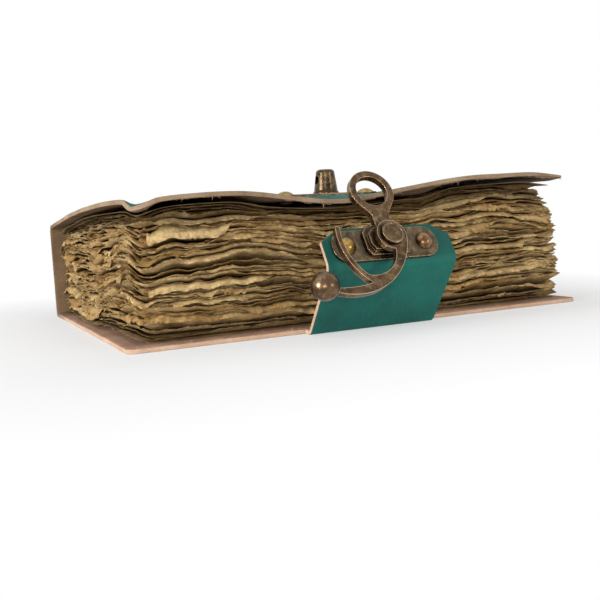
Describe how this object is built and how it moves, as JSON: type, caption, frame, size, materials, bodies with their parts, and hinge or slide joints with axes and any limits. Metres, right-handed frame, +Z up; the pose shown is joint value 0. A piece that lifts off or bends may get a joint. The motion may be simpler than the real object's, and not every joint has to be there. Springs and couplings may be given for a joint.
{
  "type": "deckle-edge notebook",
  "caption": "Soft leather notebook with a thick block of torn-edge handmade leaves, closed by a leather strap with a cast ring, a post and a swing hook; shown with the clasp undone.",
  "frame": {"origin": "middle of the back cover's underside, which rests on the table", "axes": "+Z up out of the closed notebook, -Y towards the fore-edge with the strap and clasp, +Y towards the spine, +X from the head to the tail of the leaves"},
  "size_m": [0.178, 0.1602, 0.0551],
  "materials": {
    "leather": "matt dyed grain side, tan suede flesh side and cut edges",
    "paper": "rough handmade paper with torn, tea-stained edges",
    "cast_brass": "antiqued cast brass, brown-grey in the hollows and rubbed bright on the edges",
    "rivet_brass": "rubbed brass"
  },
  "bodies": {
    "back": {"back_cover": "leather"},
    "block": {"page_block": "paper", "spine": "leather"},
    "front": {"front_cover": "leather", "post_plate": "cast_brass", "post": "cast_brass", "post_rivet_left": "rivet_brass", "post_rivet_right": "rivet_brass", "post_burr_left": "cast_brass", "post_burr_right": "cast_brass", "post_burr_middle": "cast_brass"},
    "strap": {"strap": "leather"},
    "flap": {"strap_flap": "leather", "hasp_plate": "cast_brass", "hasp": "cast_brass", "hasp_rivet_left": "rivet_brass", "hasp_rivet_right": "rivet_brass", "hasp_burr_left": "cast_brass", "hasp_burr_right": "cast_brass", "pivot_rivet": "cast_brass", "pivot_burr": "cast_brass"},
    "hook": {"swing_hook": "cast_brass"}
  },
  "joints": [
    {"name": "back_cover_hinge", "type": "hinge", "parent": "back", "child": "block", "pos_m": [0, 0.0635, 0], "axis": [-1, 0, 0], "range_deg": [0, 90]},
    {"name": "front_cover_hinge", "type": "hinge", "parent": "block", "child": "front", "pos_m": [0, 0.0606, 0.03975], "axis": [1, 0, 0], "range_deg": [-180, 0]},
    {"name": "strap_hinge", "type": "hinge", "parent": "back", "child": "strap", "pos_m": [-0.005, -0.067, 0.00075], "axis": [1, 0, 0], "range_deg": [-3, 23]},
    {"name": "flap_hinge", "type": "hinge", "parent": "strap", "child": "flap", "pos_m": [-0.005, -0.08262, 0.02265], "axis": [1, 0, 0], "range_deg": [-5, 67.5]},
    {"name": "hook_pivot", "type": "hinge", "parent": "flap", "child": "hook", "pos_m": [-0.0068, -0.08384, 0.03155], "axis": [0, -0.848, 0.5299], "continuous": true}
  ]
}
